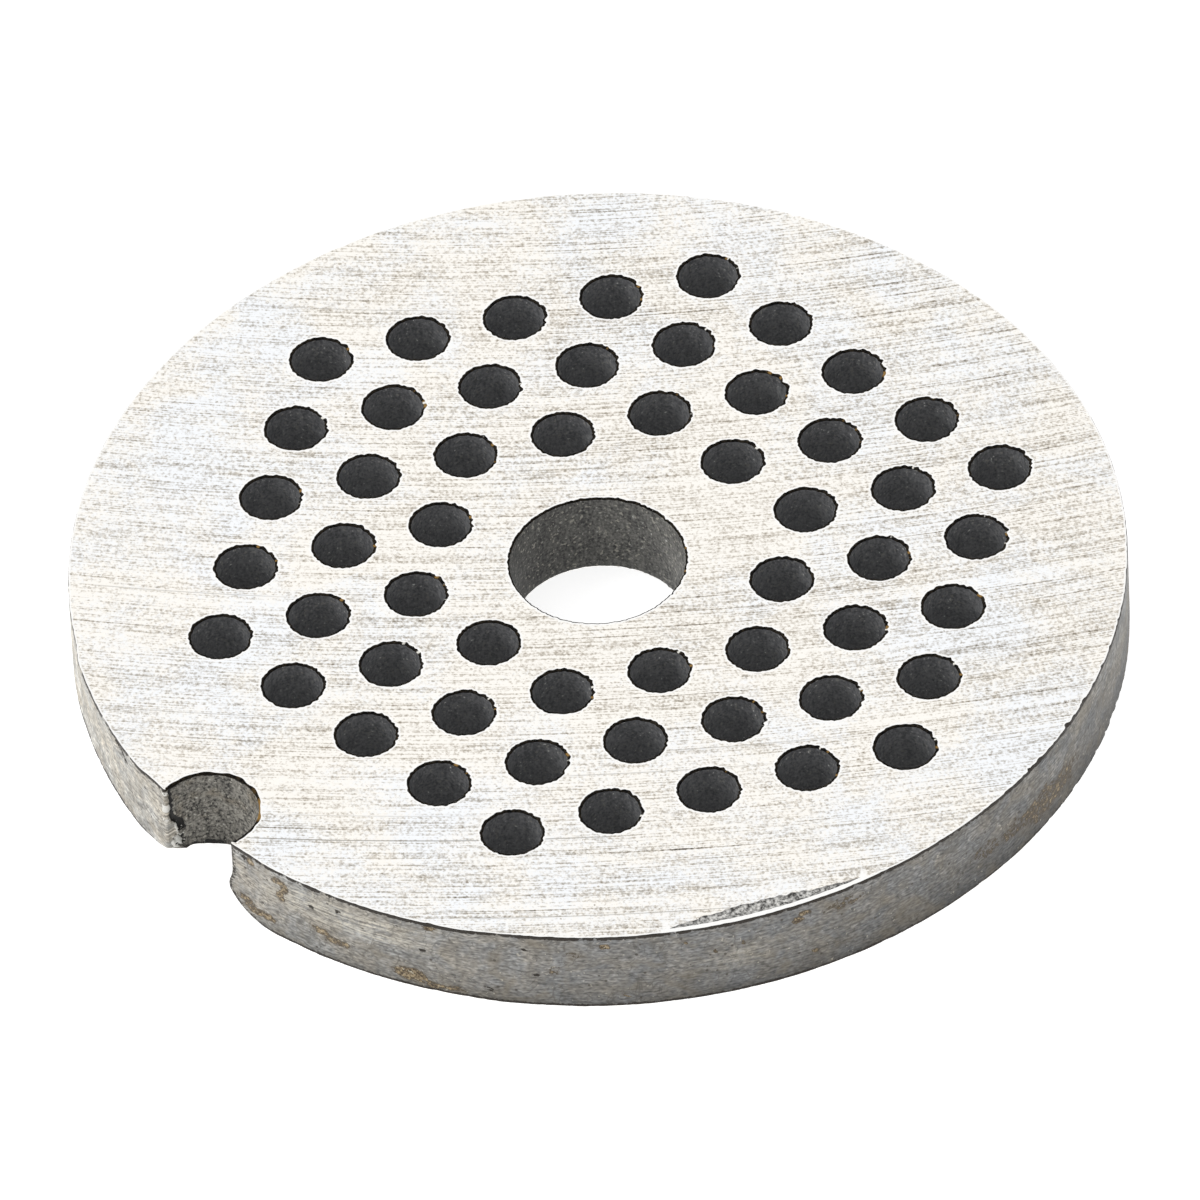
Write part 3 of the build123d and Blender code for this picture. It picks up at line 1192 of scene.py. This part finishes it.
def burr_and_shadow_edge():
    """The thin black line along each edge, a dark burr with painted shadow, with a few bright or golden
    flakes.
    """
    paint = Paint("burr_and_shadow_edge")
    grain = paint.noise(paint.mm, 6.0, detail=2.0)
    colour = paint.cover(BURR_AND_SHADOW_BLACK, BURR_AND_SHADOW_BROWN, grain, 0.4, 0.7)
    colour = paint.cover(colour, EDGE_FLAKE_GOLD, paint.wear("rust"), 0.2, 0.8)
    colour = paint.cover(colour, EDGE_FLAKE_BARE, paint.wear("bare"), 0.3, 0.7)
    return paint.finish(colour, metallic=0.0, roughness=0.8, specular=0.05)


# ---- The piece ----

MATERIALS = [
    ground_steel(),
    turned_steel(),
    # deep paints light into the middle of each cut wall's depth, and left paints shade on the bore's left
    # side
    cut_steel("notch_wall", NOTCH_DARK, NOTCH_LIGHT, streak=4.0, contrast=0.105, speck=0.9, deep=1.25),
    cut_steel("hole_wall", HOLE_DARK, HOLE_LIGHT, streak=4.0, contrast=0.11, speck=0.30, deep=1.9),
    cut_steel("bore_wall", BORE_DARK, BORE_LIGHT, streak=5.0, contrast=0.13, speck=0.9, deep=1.1, left=0.6),
    burr_and_shadow_edge(),
    raw_steel(),
]

plate = plate_mesh("worn_plate", MATERIALS)
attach(plate, "root")
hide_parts("grinder_plate")


# ---- The studio ----

# The floor's side (metres), how far it lies below the plate (mm), and its grey
FLOOR_SIZE = 3.0
FLOOR_DROP = 0.03
FLOOR_COLOUR = (0.86, 0.86, 0.86, 1)

# How much the floor glows where it is seen directly
BACKGROUND_LIFT = 0.7

# The surroundings, and how much of their full brightness is shed as light
WORLD_COLOUR = (1, 1, 1, 1)
WORLD_FILL = 0.75


def seen_directly(nodes):
    """1 where the camera, a reflection or a transparent surface looks, and 0 for light on a surface."""
    path = nodes.add("ShaderNodeLightPath").outputs
    total = path["Is Camera Ray"]
    for ray in ("Is Glossy Ray", "Is Transmission Ray"):
        total = nodes.math("MAXIMUM", total, path[ray])
    return total


def white_world():
    world = bpy.data.worlds.new("studio")
    bpy.context.scene.world = world
    world.use_nodes = True
    nodes = Nodes(world.node_tree)
    strength = nodes.level(seen_directly(nodes), 0.0, 1.0, WORLD_FILL)
    light = nodes.add("ShaderNodeBackground", {"Color": WORLD_COLOUR, "Strength": strength})
    nodes.add("ShaderNodeOutputWorld", {"Surface": light.outputs[0]})


def pale_floor():
    mesh = bpy.data.meshes.new("floor")
    half = FLOOR_SIZE / 2
    drop = -FLOOR_DROP * MM
    corners = [(-half, -half, drop), (half, -half, drop), (half, half, drop), (-half, half, drop)]
    mesh.from_pydata(corners, [], [(0, 1, 2, 3)])
    floor = bpy.data.objects.new("floor", mesh)
    bpy.context.scene.collection.objects.link(floor)
    material = bpy.data.materials.new("pale_floor")
    material.use_nodes = True
    nodes = Nodes(material.node_tree)
    paper = nodes.add("ShaderNodeBsdfDiffuse", {"Color": FLOOR_COLOUR})
    glow = nodes.add("ShaderNodeEmission", {"Strength": nodes.times(seen_directly(nodes), BACKGROUND_LIFT)})
    both = nodes.add("ShaderNodeAddShader", {0: paper.outputs[0], 1: glow.outputs[0]})
    nodes.add("ShaderNodeOutputMaterial", {"Surface": both.outputs[0]})
    mesh.materials.append(material)


def soft_lamp(name, azimuth, elevation, distance, size, watts):
    """A square area lamp that faces the plate. Its distance and its size are in metres."""
    light = bpy.data.lights.new(name, "AREA")
    light.shape = "SQUARE"
    light.size = size
    light.energy = watts
    lamp = bpy.data.objects.new(name, light)
    a = radians(azimuth)
    e = radians(elevation)
    direction = Vector((cos(a) * cos(e), sin(a) * cos(e), sin(e)))
    lamp.location = direction * distance
    lamp.rotation_euler = direction.to_track_quat("Z", "Y").to_euler()
    bpy.context.scene.collection.objects.link(lamp)


# The photograph's view: direction, tilt, lens, and the face's middle as seen by the camera (mm)
VIEW_AZIMUTH = 50.995
VIEW_ELEVATION = 44.709
VIEW_ROLL = -2.955
LENS = 939.4
SENSOR = 36.0
FACE_RIGHT = -0.1267
FACE_UP = 2.0128
FACE_DISTANCE = 1594.67


def photo_camera():
    a = radians(VIEW_AZIMUTH)
    e = radians(VIEW_ELEVATION)
    roll = radians(VIEW_ROLL)
    forward = -Vector((sin(a) * cos(e), -cos(a) * cos(e), sin(e)))
    level_right = Vector((cos(a), sin(a), 0))
    level_up = level_right.cross(forward)
    right = cos(roll) * level_right + sin(roll) * level_up
    up = cos(roll) * level_up - sin(roll) * level_right
    face_middle = Vector((0, 0, THICKNESS))
    place = face_middle - (FACE_RIGHT * right + FACE_UP * up + FACE_DISTANCE * forward)
    data = bpy.data.cameras.new("photo_camera")
    data.lens = LENS
    data.sensor_width = SENSOR
    camera = bpy.data.objects.new("photo_camera", data)
    turn = Matrix((right, up, -forward)).transposed().to_4x4()
    camera.matrix_world = Matrix.Translation(place * MM) @ turn
    bpy.context.scene.collection.objects.link(camera)
    bpy.context.scene.camera = camera


white_world()
pale_floor()
soft_lamp("key", azimuth=-135, elevation=40, distance=0.8, size=0.5, watts=3.0)
photo_camera()

bpy.context.scene.view_settings.view_transform = "Standard"
